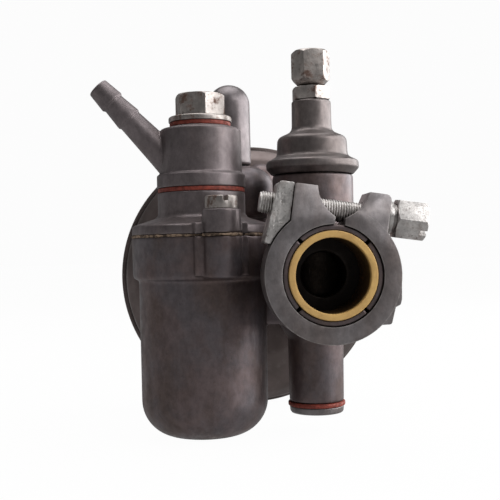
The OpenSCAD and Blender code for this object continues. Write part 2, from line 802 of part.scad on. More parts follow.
module banjo_bolt()
    color(bright_steel) at_float() difference() {
        union() {
            translate([0, 0, banjo_top + washer_t + 0.1]) lathe([
                [0, 0, 0], [bolt_flange_r, 0, 0.2], [bolt_flange_r, bolt_flange_t - 0.3, 0.6],
                [6, bolt_flange_t, 0], [0, bolt_flange_t, 0]
            ]);
            translate([0, 0, banjo_top + washer_t + bolt_flange_t]) rotate(-19.4)
                hex_prism(banjo_hex, bolt_head_h, [0, 0], [0.9, 0.6]);
            translate([0, 0, seat_top + 0.6])
                cylinder(r = bolt_shank_r, h = banjo_top + washer_t - seat_top);
        }
        cylinder(r = 1.9, h = 36);
        for (a = [0, 90]) translate([0, 0, 33]) rotate(a) along_x()
            translate([0, 0, -10]) cylinder(r = 1.2, h = 20);
    }

module fibre_washer(z, r_in, r_out, h)
    color(fibre_red) at_float() translate([0, 0, z]) difference() {
        cylinder(r = r_out, h = h);
        translate([0, 0, -1]) cylinder(r = r_in, h = h + 2);
    }

module banjo_washer_upper() fibre_washer(banjo_top + face_gap, 4.3, bolt_flange_r - 0.3, washer_t);

module banjo_washer_lower() fibre_washer(tower_top, banjo_cavity_r, tower_r - 0.1, washer_t);

// ---- choke ----

module choke_knob()
    color(cast_grey) at_choke() difference() {
        lathe([
            [0, knob_z, 0], [knob_d / 2, knob_z, 1],
            [knob_d / 2 - 0.2, knob_z + knob_h, knob_d / 2 - 0.4], [0, knob_z + knob_h, 0]
        ]);
        translate([0, 0, knob_z - 1]) cylinder(r = choke_stem_r, h = 16);
    }

module choke_plunger()
    color(brass) at_choke() lathe([
        [0, choke_low + 0.2, 0], [1.6, choke_low + 0.2, 0], [choke_bore_r - 0.06, choke_low + 2, 0.2],
        [choke_bore_r - 0.06, choke_low + plunger_h, 0.2], [choke_stem_r - 0.02, choke_low + plunger_h, 0],
        [choke_stem_r - 0.02, knob_z + 14, 0.3], [0, knob_z + 14, 0]
    ]);

module choke_spring()
    color(spring_steel) at_choke() coil(3.4, 0.4, choke_low + plunger_h + 0.05, choke_tower_top - 2.1, 9);

module choke_seal()
    color(rubber_black) at_choke() difference() {
        lathe([
            [0, choke_tower_top - 2, 0], [choke_bore_r - 0.02, choke_tower_top - 2, 0],
            [choke_bore_r - 0.02, choke_tower_top + 0.02, 0], [5.4, choke_tower_top + 0.02, 0.3],
            [5.2, knob_z - 0.1, 0.4], [0, knob_z - 0.1, 0]
        ]);
        translate([0, 0, 20]) cylinder(r = choke_stem_r + 0.05, h = 40);
    }

// ---- air filter ----

module filter_gasket()
    color(paper) along_y() translate([0, 0, horn_end]) difference() {
        cylinder(r = horn_flange_r, h = drum_y - horn_end);
        translate([0, 0, -1]) cylinder(r = horn_mouth_r + 1.2, h = 4);
        for (a = [90:120:330])
            rotate(a) translate([horn_bolt_r, 0, -1]) cylinder(r = 2, h = 4);
    }

module filter_screws()
    color(bright_steel)
        for (a = [90:120:330])
            rotate([0, a, 0]) translate([horn_bolt_r, 0, 0]) along_y() difference() {
                lathe([
                    [0, horn_end - 3.6, 0], [1.66, horn_end - 3.6, 0.4], [1.66, drum_y + 2.2, 0],
                    [3.2, drum_y + 2.2, 0.2], [2.9, drum_y + 4, 0.6], [0, drum_y + 4.1, 0]
                ]);
                translate([-5, -0.4, drum_y + 3]) cube([10, 0.8, 3]);
            }

module filter_housing()
    color(dark_cast) difference() {
        union() {
            at_drum() along_y() lathe([
                [0, drum_y, 0], [27, drum_y, 6], [drum_r - 3.4, drum_y + dish_depth - 1, 4],
                [drum_r, drum_y + dish_depth + 3, 3], [drum_r, drum_back, 0],
                [drum_r - drum_wall, drum_back, 0], [drum_r - drum_wall, drum_y + dish_depth + 3, 2],
                [drum_r - 4.6, drum_y + dish_depth + 1, 2], [26, drum_y + 2.2, 6], [0, drum_y + 2.2, 0]
            ]);
            // Pad under the carburettor's flange
            along_y() translate([0, 0, drum_y]) cylinder(r = horn_flange_r + 1, h = 2.2);
        }
        along_y() translate([0, 0, drum_y - 1]) cylinder(r = horn_mouth_r + 1.2, h = 6);
        for (a = [90:120:330])
            rotate([0, a, 0]) translate([horn_bolt_r, drum_y - 1, 0]) along_y()
                cylinder(r = 1.8, h = 6);
        for (a = [90:120:330])
            rotate([0, a, 0]) translate([horn_bolt_r, drum_y + 2.2, 0]) along_y()
                cylinder(r = 3.6, h = 6);
        at_drum() along_y() translate([0, 0, drum_y + 0.6]) cylinder(r = stud_r, h = 30);
        // Drain
        at_drum() translate([0, drum_y + 12, -drum_r - 2]) cylinder(r = 1.5, h = 8);
    }

module filter_stud()
    color(bright_steel) at_drum() along_y() union() {
        translate([0, 0, drum_y + 2.25]) hex_prism(8, 2.2);
        translate([0, 0, drum_y + 0.8]) cylinder(r = stud_r - 0.03, h = drum_depth + 8.6);
    }

module filter_element()
    color(mesh_grey) at_drum() along_y() difference() {
        translate([0, 0, drum_y + 9.4]) cylinder(r = drum_r - drum_wall - 0.3, h = drum_depth - 9.6);
        translate([0, 0, drum_y + 5]) cylinder(r = stud_r + 0.2, h = 40);
    }

module filter_cover()
    color(dark_cast) at_drum() along_y() difference() {
        lathe([
            [0, drum_back + 3.4, 0], [16, drum_back + 3.4, 4], [24, drum_back + cover_t, 4],
            [drum_r - 3, drum_back + cover_t, 3], [drum_r + 1.8, drum_back + cover_t - 0.2, 1.4],
            [drum_r + 1.8, drum_back - 5, 0], [drum_r + 0.1, drum_back - 5, 0],
            [drum_r + 0.1, drum_back + 0.05, 0], [24.6, drum_back + 0.05, 4],
            [15.6, drum_back + 1.8, 4], [0, drum_back + 1.8, 0]
        ]);
        cylinder(r = stud_r + 0.2, h = 200);
        // Intake slots
        for (a = [15:30:345]) rotate(a) translate([0, 0, drum_back - 1]) linear_extrude(4)
            polygon(rounded([[27, -1.7, 1.6], [37, -1.7, 1.6], [37, 1.7, 1.6], [27, 1.7, 1.6]]));
    }

module filter_nut()
    color(bright_steel) at_drum() along_y() translate([0, 0, drum_back + 4.4]) difference() {
        hex_prism(8, 4, [0.4, 0.3], [0.8, 0.6]);
        translate([0, 0, -1]) cylinder(r = stud_r, h = 10);
    }

body();
insulating_bush();
clamp_ring();
clamp_nut();
clamp_bolt();
mixing_chamber_cap();
cable_adjuster();
adjuster_locknut();
throttle_slide();
throttle_spring();
spring_seat();
jet_needle();
needle_clip();
slide_guide_pin();
idle_screw();
idle_screw_spring();
needle_jet();
main_jet();
bottom_plug();
bottom_plug_washer();
float();
float_needle();
needle_seat();
float_cover();
float_cover_gasket();
cover_screws();
fuel_banjo();
fuel_strainer();
banjo_bolt();
banjo_washer_upper();
banjo_washer_lower();
choke_knob();
choke_plunger();
choke_spring();
choke_seal();
filter_gasket();
filter_screws();
filter_housing();
filter_element();
filter_cover();
filter_stud();
filter_nut();
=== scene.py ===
"""Looks of the slide carburettor: materials, visible detail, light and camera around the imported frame."""

import json
import math

import bmesh
import bpy
from mathutils import Matrix, Vector, noise


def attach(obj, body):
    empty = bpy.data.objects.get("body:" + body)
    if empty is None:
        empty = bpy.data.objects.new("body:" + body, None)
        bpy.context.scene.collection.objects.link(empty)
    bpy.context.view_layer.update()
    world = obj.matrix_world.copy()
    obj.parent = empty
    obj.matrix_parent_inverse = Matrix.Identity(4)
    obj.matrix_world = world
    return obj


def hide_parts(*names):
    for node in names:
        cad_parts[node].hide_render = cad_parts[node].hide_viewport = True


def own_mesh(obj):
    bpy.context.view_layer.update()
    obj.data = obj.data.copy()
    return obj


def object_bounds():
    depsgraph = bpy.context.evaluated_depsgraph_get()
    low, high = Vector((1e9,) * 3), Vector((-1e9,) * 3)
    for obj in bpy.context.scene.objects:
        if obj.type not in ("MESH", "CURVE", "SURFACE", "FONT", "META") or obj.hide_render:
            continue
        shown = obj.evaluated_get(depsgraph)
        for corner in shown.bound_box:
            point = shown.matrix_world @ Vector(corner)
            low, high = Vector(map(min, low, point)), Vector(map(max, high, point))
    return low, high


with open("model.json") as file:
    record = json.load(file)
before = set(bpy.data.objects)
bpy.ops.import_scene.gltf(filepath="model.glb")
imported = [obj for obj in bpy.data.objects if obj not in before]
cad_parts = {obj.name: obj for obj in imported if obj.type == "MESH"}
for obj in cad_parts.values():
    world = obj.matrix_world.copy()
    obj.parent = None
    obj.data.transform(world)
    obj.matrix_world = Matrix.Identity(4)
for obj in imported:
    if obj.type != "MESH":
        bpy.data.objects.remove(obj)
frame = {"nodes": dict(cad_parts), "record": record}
cad_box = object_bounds()
MM = 0.001


# ---- node helpers ----


class Shader:
    """A material under construction: short calls that add nodes and join them."""

    def __init__(self, name):
        self.mat = bpy.data.materials.new(name)
        self.mat.use_nodes = True
        self.tree = self.mat.node_tree
        self.bsdf = self.tree.nodes["Principled BSDF"]
        self.coords = self.tree.nodes.new("ShaderNodeTexCoord").outputs["Object"]

    def add(self, kind, **settings):
        node = self.tree.nodes.new(kind)
        for key, value in settings.items():
            setattr(node, key, value)
        return node

    def link(self, source, target):
        self.tree.links.new(source, target)

    def put(self, value, socket):
        """Joins an output to a socket, or sets the socket to a constant."""
        if isinstance(value, bpy.types.NodeSocket):
            self.link(value, socket)
        else:
            socket.default_value = value

    def noise(self, cell, detail=4, rough=0.55, stretch=(1, 1, 1), distortion=0.0):
        """Noise from 0 to 1 whose blotches are about one cell wide, in metres."""
        mapping = self.add("ShaderNodeMapping")
        mapping.inputs["Scale"].default_value = stretch
        self.link(self.coords, mapping.inputs["Vector"])
        node = self.add("ShaderNodeTexNoise")
        node.inputs["Scale"].default_value = 1 / cell
        node.inputs["Detail"].default_value = detail
        node.inputs["Roughness"].default_value = rough
        node.inputs["Distortion"].default_value = distortion
        self.link(mapping.outputs[0], node.inputs["Vector"])
        return node.outputs["Fac"]

    def cells(self, cell):
        """Distance to the nearest cell centre, in cell widths."""
        node = self.add("ShaderNodeTexVoronoi")
        node.inputs["Scale"].default_value = 1 / cell
        self.link(self.coords, node.inputs["Vector"])
        return node.outputs["Distance"]

    def span(self, value, low, high, out_low=0.0, out_high=1.0):
        """Maps low..high to out_low..out_high, clamped."""
        node = self.add("ShaderNodeMapRange", interpolation_type="SMOOTHSTEP")
        limits = {"From Min": low, "From Max": high, "To Min": out_low, "To Max": out_high}
        for key, number in limits.items():
            node.inputs[key].default_value = number
        self.put(value, node.inputs["Value"])
        return node.outputs[0]

    def math(self, operation, a, b=0.0):
        node = self.add("ShaderNodeMath", operation=operation)
        self.put(a, node.inputs[0])
        self.put(b, node.inputs[1])
        return node.outputs[0]

    def mix(self, factor, a, b):
        """Colour mix of a and b."""
        node = self.add("ShaderNodeMix", data_type="RGBA")
        self.put(factor, node.inputs["Factor"])
        for value, socket in ((a, node.inputs[6]), (b, node.inputs[7])):
            self.put(value if isinstance(value, bpy.types.NodeSocket) else (*value, 1), socket)
        return node.outputs[2]

    def shade(self, color, value):
        """The colour made darker or lighter by a factor."""
        node = self.add("ShaderNodeHueSaturation")
        self.put(value, node.inputs["Value"])
        self.put(color, node.inputs["Color"])
        return node.outputs[0]

    def cavity(self, reach):
        """1 in open air, falling to 0 deep in a corner, looking reach metres around."""
        node = self.add("ShaderNodeAmbientOcclusion", samples=6)
        node.inputs["Distance"].default_value = reach
        return node.outputs["AO"]

    def edges(self, radius):
        """Mask for edge wear and painted edge highlight: 1 where the surface turns outwards sharply within
        the radius, 0 on flats.
        """
        bevel = self.add("ShaderNodeBevel", samples=6)
        bevel.inputs["Radius"].default_value = radius
        flat = self.add("ShaderNodeVectorMath", operation="DOT_PRODUCT")
        self.link(bevel.outputs[0], flat.inputs[0])
        self.link(self.add("ShaderNodeNewGeometry").outputs["Normal"], flat.inputs[1])
        turned = self.span(flat.outputs["Value"], 0.985, 0.93)
        return self.math("MULTIPLY", turned, self.span(self.cavity(1.5 * radius), 0.7, 0.9))

    def axis(self, name):
        """One coordinate of the surface point, in metres."""
        node = self.add("ShaderNodeSeparateXYZ")
        self.link(self.coords, node.inputs[0])
        return node.outputs[name]

    def bump(self, height, depth, strength):
        """Bump whose height from 0 to 1 stands for a depth in metres."""
        node = self.add("ShaderNodeBump")
        node.inputs["Strength"].default_value = strength
        node.inputs["Distance"].default_value = depth
        self.put(height, node.inputs["Height"])
        self.link(node.outputs[0], self.bsdf.inputs["Normal"])

    def scratches(self, width, length):
        """Thin upright lines, 1 on a scratch."""
        return self.span(self.noise(width, 2, 0.5, (1, 1, width / length), 0.3), 0.62, 0.7)

    def off_axis(self):
        """Distance from the bore axis, in metres."""
        across, up = (self.math("POWER", self.axis(way), 2) for way in "XZ")
        return self.math("SQRT", self.math("ADD", across, up))

    def scaled(self, mask, share):
        """A mask at a share of its strength."""
        return self.math("MULTIPLY", mask, share)

    def finish(self, color, roughness, metallic, specular=0.5):
        target = self.bsdf.inputs["Base Color"]
        self.put(color if isinstance(color, bpy.types.NodeSocket) else (*color, 1), target)
        self.put(roughness, self.bsdf.inputs["Roughness"])
        self.bsdf.inputs["Metallic"].default_value = metallic
        self.bsdf.inputs["Specular IOR Level"].default_value = specular
        return self.mat


# ---- materials ----

# Near black used as painted shade in corners, within the bore and on the slide deep in it
SHADE_BLACK = (0.012, 0.009, 0.007)
# Colour of bare metal for worn edges and scuffs, also used as painted edge highlight
BARE_AND_HIGHLIGHT = (0.5, 0.47, 0.45)
RUST = (0.12, 0.052, 0.03)
# Radius of the bore painted dark as shade, bottom of the bowl, and lower end of the clamp's ears, above
# which a highlight is painted
SHADED_BORE_R = 10.6 * MM
BOWL_FOOT = -46.3 * MM
EARS_LOW = 13 * MM


def casting(name, base, cool, warm, stain, rough=(0.38, 0.56), wear=0.6, bore=0.0, foot=0.0, ears=0.0):
    """Aged alloy casting: cloudy grey, brown smears, grime and painted shade in corners, edges worn bright
    and painted as highlights.

    Painted dark as shade within the radius bore, scuffed near the height foot, lightened as a painted
    highlight above the height ears.
    """
    s = Shader(name)
    cloud = s.span(s.noise(13 * MM, 6, 0.62), 0.36, 0.64)
    color = s.mix(cloud, base, cool)
    bloom = s.span(s.noise(10 * MM, 7, 0.62, (1, 1, 0.5)), 0.48, 0.78)
    color = s.mix(s.scaled(bloom, 0.4), color, tuple(1.9 * c for c in cool))
    smears = s.span(s.noise(10 * MM, 8, 0.6, (1, 1, 0.5)), 0.4, 0.7)
    color = s.mix(s.scaled(smears, stain), color, warm)
    color = s.shade(color, s.span(s.noise(2.2 * MM, 8, 0.75, (1, 1, 0.7)), 0.3, 0.7, 0.82, 1.2))
    specks = s.span(s.noise(1.3 * MM, 6, 0.72), 0.6, 0.74)
    color = s.mix(s.scaled(specks, 0.5), color, tuple(0.3 * c for c in base))
    if foot:
        low = s.math("ADD", s.axis("Z"), s.math("MULTIPLY", s.noise(5 * MM, 6, 0.65), 9 * MM))
        reach = s.span(low, foot + 8 * MM, foot + 3 * MM)
        scuffs = s.math("MULTIPLY", reach, s.span(s.noise(1.6 * MM, 8, 0.75), 0.44, 0.6))
        color = s.mix(s.scaled(scuffs, 0.5), color, BARE_AND_HIGHLIGHT)
    if ears:
        # Painted highlight: the ears are made lighter above this height to stand in for light falling on
        # them
        painted_highlight = s.span(s.axis("Z"), ears, ears + 5 * MM)
        color = s.shade(color, s.span(painted_highlight, 0, 1, 1, 1.9))
    # Darker deep in corners: partly grime, partly painted shade
    grime_and_shade = s.span(s.cavity(2.2 * MM), 0.72, 0.3)
    color = s.mix(s.scaled(grime_and_shade, 0.85), color, SHADE_BLACK)
    # Edges made lighter: partly wear, partly painted edge highlight
    wear_and_highlight = s.math("MULTIPLY", s.edges(0.5 * MM), s.span(s.noise(1.8 * MM, 5), 0.3, 0.6))
    color = s.mix(s.scaled(wear_and_highlight, wear), color, BARE_AND_HIGHLIGHT)
    if bore:
        # Painted shade: the bore is made near black where little light reaches
        painted_bore_shade = s.span(s.off_axis(), bore + 0.4 * MM, bore)
        color = s.mix(s.scaled(painted_bore_shade, 0.96), color, SHADE_BLACK)
    fine = s.noise(0.35 * MM, 3, 0.6)
    height = s.math("ADD", fine, s.math("MULTIPLY", s.noise(3 * MM, 4), 5))
    s.bump(height, 0.02 * MM, 0.6)
    roughness = s.span(s.noise(3.5 * MM, 7, 0.65), 0.3, 0.7, *rough)
    return s.finish(color, roughness, 0.8)


def machined(name, base, dark, rough=(0.2, 0.4), scratch=0.02 * MM, wear=0.5, rust=0.0, lines=0.3):
    """Turned or milled metal with scratches, pits, rust, and grime with painted shade in corners."""
    s = Shader(name)
    cloud = s.span(s.noise(4 * MM, 5, 0.6), 0.36, 0.64)
    color = s.mix(cloud, base, tuple(0.72 * c for c in base))
    blooms = s.span(s.noise(3.5 * MM, 7, 0.68), 0.5, 0.66)
    color = s.mix(s.scaled(blooms, rust), color, RUST)
    pits = s.span(s.noise(0.8 * MM, 6, 0.72), 0.54, 0.7)
    color = s.mix(s.scaled(pits, wear), color, dark)
    # Darker deep in corners: partly grime, partly painted shade
    grime_and_shade = s.span(s.cavity(1.2 * MM), 0.75, 0.3)
    color = s.mix(s.scaled(grime_and_shade, 0.85), color, dark)
    marks = s.scratches(0.25 * MM, 3 * MM)
    color = s.mix(s.scaled(marks, lines), color, (0.8, 0.78, 0.76))
    height = s.math("ADD", s.noise(0.6 * MM, 5), s.math("MULTIPLY", marks, -2.5 * lines))
    s.bump(height, scratch, 0.7)
    worn = s.span(s.noise(1.5 * MM, 5, 0.65), 0.32, 0.68, *rough)
    roughness = s.math("ADD", worn, s.scaled(blooms, 0.4 * rust))
    return s.finish(color, roughness, 0.95)


def fibre():
    s = Shader("fibre")
    cloud = s.span(s.noise(1.2 * MM, 5, 0.7), 0.35, 0.65)
    color = s.mix(cloud, (0.36, 0.06, 0.035), (0.16, 0.03, 0.02))
    s.bump(s.noise(0.25 * MM, 4, 0.7, (1, 1, 3)), 0.05 * MM, 0.7)
    return s.finish(color, s.span(cloud, 0, 1, 0.5, 0.75), 0.0)


def paper():
    """Gasket paper with dried sealant at its edge."""
    s = Shader("paper")
    cloud = s.span(s.noise(1.6 * MM, 6, 0.7), 0.42, 0.6)
    color = s.mix(cloud, (0.36, 0.25, 0.17), (0.07, 0.045, 0.03))
    s.bump(s.noise(0.3 * MM, 5), 0.08 * MM, 0.8)
    return s.finish(color, s.span(cloud, 0, 1, 0.6, 0.85), 0.0)


def nylon():
    """Yellowed bush, clean at the lip and darker further in: partly stained brown by fuel, partly painted
    shade deep in the mouth.
    """
    s = Shader("nylon")
    cloud = s.span(s.noise(4 * MM, 5, 0.6), 0.35, 0.68)
    color = s.mix(cloud, (0.8, 0.51, 0.18), (0.66, 0.4, 0.14))
    specks = s.span(s.noise(0.9 * MM, 6, 0.7), 0.6, 0.75)
    color = s.mix(s.scaled(specks, 0.6), color, (0.12, 0.06, 0.02))
    # Darker deeper into the bush: partly fuel stain, partly painted shade
    depth = s.math("ADD", s.axis("Y"), s.math("MULTIPLY", s.noise(5 * MM, 4), 2 * MM))
    color = s.mix(s.math("MULTIPLY", s.span(depth, 1.2 * MM, 4 * MM), 0.95), color, (0.03, 0.014, 0.006))
    s.bump(s.noise(0.5 * MM, 4), 0.03 * MM, 0.5)
    return s.finish(color, s.span(cloud, 0, 1, 0.36, 0.55), 0.0)


def plastic(name, base, rough):
    s = Shader(name)
    cloud = s.noise(2 * MM, 4)
    color = s.mix(cloud, base, tuple(1.8 * c for c in base))
    s.bump(s.noise(0.4 * MM, 4), 0.04 * MM, 0.5)
    return s.finish(color, s.span(cloud, 0.3, 0.7, *rough), 0.0)


def drum_metal():
    """Dark satin pressed sheet with rub marks, dust and painted shade in its corners, and edges lightened
    as wear and painted highlight.
    """
    s = Shader("drum_metal")
    cloud = s.span(s.noise(18 * MM, 5, 0.55, distortion=0.5), 0.36, 0.64)
    color = s.mix(cloud, (0.165, 0.13, 0.124), (0.11, 0.088, 0.083))
    rub = s.span(s.noise(3 * MM, 6, 0.65), 0.52, 0.7)
    color = s.mix(s.scaled(rub, 0.3), color, (0.22, 0.19, 0.18))
    # Darker deep in corners: partly grime, partly painted shade
    grime_and_shade = s.span(s.cavity(4 * MM), 0.75, 0.3)
    color = s.mix(s.scaled(grime_and_shade, 0.6), color, (0.03, 0.025, 0.022))
    # Edges made lighter: partly wear, partly painted edge highlight
    worn = s.math("MULTIPLY", s.edges(0.6 * MM), s.span(s.noise(2 * MM, 4), 0.3, 0.6))
    color = s.mix(s.scaled(worn, 0.4), color, BARE_AND_HIGHLIGHT)
    s.bump(s.noise(0.6 * MM, 4), 0.03 * MM, 0.5)
    return s.finish(color, s.span(s.noise(4 * MM, 4), 0.3, 0.7, 0.36, 0.5), 0.7)


def wire_mesh():
    """Oiled fleece of the filter element."""
    s = Shader("wire_mesh")
    strands = s.span(s.cells(1.1 * MM), 0.2, 0.55)
    color = s.mix(strands, (0.16, 0.14, 0.11), (0.035, 0.03, 0.025))
    s.bump(strands, 0.4 * MM, 0.9)
    return s.finish(color, s.span(strands, 0, 1, 0.5, 0.85), 0.0)


def make_materials():
    # The dark colours of machined pieces mark their pits and also darken their corners as painted shade
    brown = (0.1, 0.062, 0.045)
    rust = (0.06, 0.04, 0.03)
    grime = (0.05, 0.035, 0.028)
    return {
        "body_casting": casting(
            "body_casting", (0.175, 0.135, 0.135), (0.15, 0.132, 0.14), brown, 0.62,
            bore=SHADED_BORE_R, foot=BOWL_FOOT),
        "cover_casting": casting(
            "cover_casting", (0.21, 0.18, 0.184), (0.175, 0.15, 0.153), brown, 0.25),
        "cap_casting": casting(
            "cap_casting", (0.2, 0.172, 0.166), (0.165, 0.145, 0.142), rust, 0.35, rough=(0.36, 0.5)),
        "clamp_casting": casting(
            "clamp_casting", (0.27, 0.25, 0.255), (0.21, 0.19, 0.19), brown, 0.4,
            rough=(0.36, 0.54), wear=0.8, ears=EARS_LOW),
        "knob_metal": casting(
            "knob_metal", (0.22, 0.195, 0.2), (0.185, 0.165, 0.17), brown, 0.2, rough=(0.36, 0.46)),
        # The slide and needle are made near black as painted shade, since they sit deep in the dark bore
        "slide_metal": machined(
            "slide_metal", (0.05, 0.04, 0.034), SHADE_BLACK, rough=(0.5, 0.7), wear=0.6, lines=0.05),
        "plated_steel": machined("plated_steel", (0.5, 0.455, 0.43), rust, rough=(0.3, 0.48), rust=0.8),
        "bright_steel": machined(
            "bright_steel", (0.72, 0.69, 0.67), rust,
            rough=(0.3, 0.5), wear=0.7, scratch=0.07 * MM, rust=0.3),
        "spring_steel": machined("spring_steel", (0.4, 0.4, 0.42), grime, wear=0.2),
        "brass": machined("brass", (0.6, 0.4, 0.14), (0.12, 0.06, 0.025), wear=0.3),
        "fibre": fibre(),
        "paper": paper(),
        "nylon": nylon(),
        "rubber": plastic("rubber", (0.02, 0.019, 0.018), (0.55, 0.8)),
        "float_plastic": plastic("float_plastic", (0.03, 0.03, 0.032), (0.4, 0.6)),
        "filter_metal": drum_metal(),
        "filter_mesh": wire_mesh(),
    }


def dress(obj, material):
    obj.data.materials.clear()
    obj.data.materials.append(material)


def slot_of(node):
    return next(p["material_slot"] for p in frame["record"]["subparts"] if p["node"] == node)


def body_of(node):
    bodies = frame["record"]["behaviour"]["bodies"]
    return next(body for body, members in bodies.items() if node in members)


def dress_frame():
    for node, obj in frame["nodes"].items():
        dress(obj, materials[slot_of(node)])


# ---- pieces with real edges ----

WELD = 0.002 * MM
# The turned and slotted mouth of the body: its length and its radius
STUB_LENGTH = 14 * MM
STUB_R = 13.6 * MM
SHARP = math.radians(32)


def welded(node):
    """The node's mesh in one skin, without the seams between its faces."""
    bm = bmesh.new()
    bm.from_mesh(frame["nodes"][node].data)
    bmesh.ops.remove_doubles(bm, verts=bm.verts, dist=WELD)
    return bm


def to_mesh(bm):
    mesh = bpy.data.meshes.new("mesh")
    bm.to_mesh(mesh)
    bm.free()
    if "custom_normal" in mesh.attributes:
        mesh.attributes.remove(mesh.attributes["custom_normal"])
    return mesh


def modified(mesh, *steps):
    """The mesh after modifiers, each given as (type, settings)."""
    obj = bpy.data.objects.new("work", mesh)
    bpy.context.scene.collection.objects.link(obj)
    for kind, settings in steps:
        modifier = obj.modifiers.new(kind.lower(), kind)
        for key, value in settings.items():
            setattr(modifier, key, value)
    graph = bpy.context.evaluated_depsgraph_get()
    result = bpy.data.meshes.new_from_object(obj.evaluated_get(graph))
    bpy.data.objects.remove(obj)
    return result


def piece(name, mesh, node, replaced=True):
    """Adds a finished mesh that stands for a CAD node or goes with it."""
    obj = bpy.data.objects.new(name, mesh)
    bpy.context.scene.collection.objects.link(obj)
    dress(obj, materials[slot_of(node)])
    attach(obj, body_of(node))
    if replaced:
        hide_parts(node)
    return obj


def cast(node, voxel, passes, keep, crumple=0.0):
    """The node as a casting: its edges get the soft radius of a mould, and its skin may crumple."""
    rough = modified(to_mesh(welded(node)), ("REMESH", {"mode": "VOXEL", "voxel_size": voxel}))
    bm = bmesh.new()
    bm.from_mesh(rough)
    soft = [v for v in bm.verts if not on_stub(node, v.co)]
    every_way = {"use_axis_x": True, "use_axis_y": True, "use_axis_z": True}
    for _ in range(passes):
        bmesh.ops.smooth_vert(bm, verts=soft, factor=0.5, **every_way)
    if crumple:
        bm.normal_update()
        for v in bm.verts:
            v.co += v.normal * crumple * (waves(v.co, 450, 1500, 0.6) - 0.4)
    mesh = modified(to_mesh(bm), ("DECIMATE", {"ratio": keep}))
    mesh.shade_smooth()
    return piece(node + "_cast", mesh, node)


def waves(spot, coarse, fine, share):
    """Noise around 0 from coarse waves and a share of fine ones, in waves per metre."""
    return noise.noise(spot * coarse) + share * noise.noise(spot * fine)


def on_stub(node, spot):
    """The mouth of the body keeps its sharp edges."""
    return node == "body" and spot.y < STUB_LENGTH and math.hypot(spot.x, spot.z) < STUB_R


def crisp(node, width, shape=None):
    """The node, or a shape made from it, as a machined piece: its sharp edges get a small bevel."""
    bm = shape or welded(node)
    bmesh.ops.dissolve_limit(bm, angle_limit=math.radians(0.5), verts=bm.verts, edges=bm.edges)
    mesh = modified(
        to_mesh(bm),
        ("BEVEL", {
            "width": width, "segments": 2, "limit_method": "ANGLE", "angle_limit": SHARP,
            "harden_normals": False, "miter_outer": "MITER_ARC",
        }),
    )
    mesh.shade_smooth()
    mesh.set_sharp_from_angle(angle=math.radians(28))
    return piece(node + "_edged", mesh, node)


def joint_of(name):
    return next(j for j in frame["record"]["behaviour"]["joints"] if j["name"] == name)


def skin(bm, rings):
    """Closes rings of points into a tube with two flat ends."""
    for near, far in zip(rings, rings[1:]):
        for k in range(len(near)):
            n = (k + 1) % len(near)
            bm.faces.new((near[k], near[n], far[n], far[k]))
    bm.faces.new(reversed(rings[0]))
    bm.faces.new(rings[-1])


def thread(place, along, start, end, root, crest, pitch):
    """A helical thread around an axis, from start to end along it, fading in over its first turn."""
    sides, steps = 28, 8
    turn = along.to_track_quat("Z", "Y")
    count = round((end - start) / pitch * steps)
    bm = bmesh.new()
    rings = []
    for i in range(count + 1):
        height = start + (end - start) * i / count
        fade = min(1, (height - start) / pitch)
        ring = []
        for k in range(sides):
            angle = math.tau * k / sides
            crown = 1 - abs(2 * ((height / pitch - k / sides) % 1) - 1)
            radius = root + (crest - root) * fade * min(1, 1.25 * crown)
            spot = Vector((radius * math.cos(angle), radius * math.sin(angle), height))
            ring.append(bm.verts.new(place + turn @ spot))
        rings.append(ring)
    skin(bm, rings)
    return bm


def clamp_bolt():
    """The clamp bolt: the head of the CAD piece on a shank with a real thread."""
    joint = joint_of("clamp_bolt_turn")
    place = Vector(joint["pos_m"])
    along = Vector(joint["axis"]).normalized()
    bm = welded("clamp_bolt")
    tip = min((v.co - place).dot(along) for v in bm.verts)
    under_head = place + along * BOLT_NECK
    everything = bm.verts[:] + bm.edges[:] + bm.faces[:]
    bmesh.ops.bisect_plane(bm, geom=everything, plane_co=under_head, plane_no=along, clear_inner=True)
    bmesh.ops.holes_fill(bm, edges=[e for e in bm.edges if e.is_boundary])
    crisp("clamp_bolt", 0.25 * MM, shape=bm)
    shank = to_mesh(thread(
        place, along, tip, BOLT_NECK + INTO_HEAD, THREAD_ROOT, THREAD_CREST, THREAD_PITCH))
    shank.shade_smooth()
    shank.set_sharp_from_angle(angle=math.radians(50))
    piece("clamp_bolt_shank", shank, "clamp_bolt", replaced=False)


def spring(node, joint_name, turns, wire):
    """A coil of round wire with closed ends, filling the height of the node's box."""
    sides, steps = 10, 28
    corners = [frame["nodes"][node].matrix_world @ Vector(c) for c in frame["nodes"][node].bound_box]
    low, high = (Vector(tuple(pick(c[i] for c in corners) for i in range(3))) for pick in (min, max))
    centre = (low + high) / 2
    radius = (high.x - low.x) / 2 - wire
    length = high.z - low.z - 2 * wire
    closed = 2.1 * wire / length
    bm = bmesh.new()
    rings = []
    for i in range(turns * steps + 1):
        turn = i / steps
        # The first and the last turn lie close, and the others share the rest of the length
        open_turns = (min(max(turn, 1), turns - 1) - 1) / (turns - 2)
        share = closed * (min(turn, 1) + max(turn - turns + 1, 0)) + (1 - 2 * closed) * open_turns
        around = Vector((math.cos(math.tau * turn), math.sin(math.tau * turn), 0))
        spot = Vector((centre.x, centre.y, low.z + wire + share * length)) + radius * around
        rings.append([
            bm.verts.new(spot + wire * (math.cos(a) * around + math.sin(a) * Vector((0, 0, 1))))
            for a in (math.tau * k / sides for k in range(sides))
        ])
    skin(bm, rings)
    bmesh.ops.recalc_face_normals(bm, faces=bm.faces)
    mesh = to_mesh(bm)
    mesh.shade_smooth()
    coil = piece(node + "_wire", mesh, node)
    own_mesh(coil)


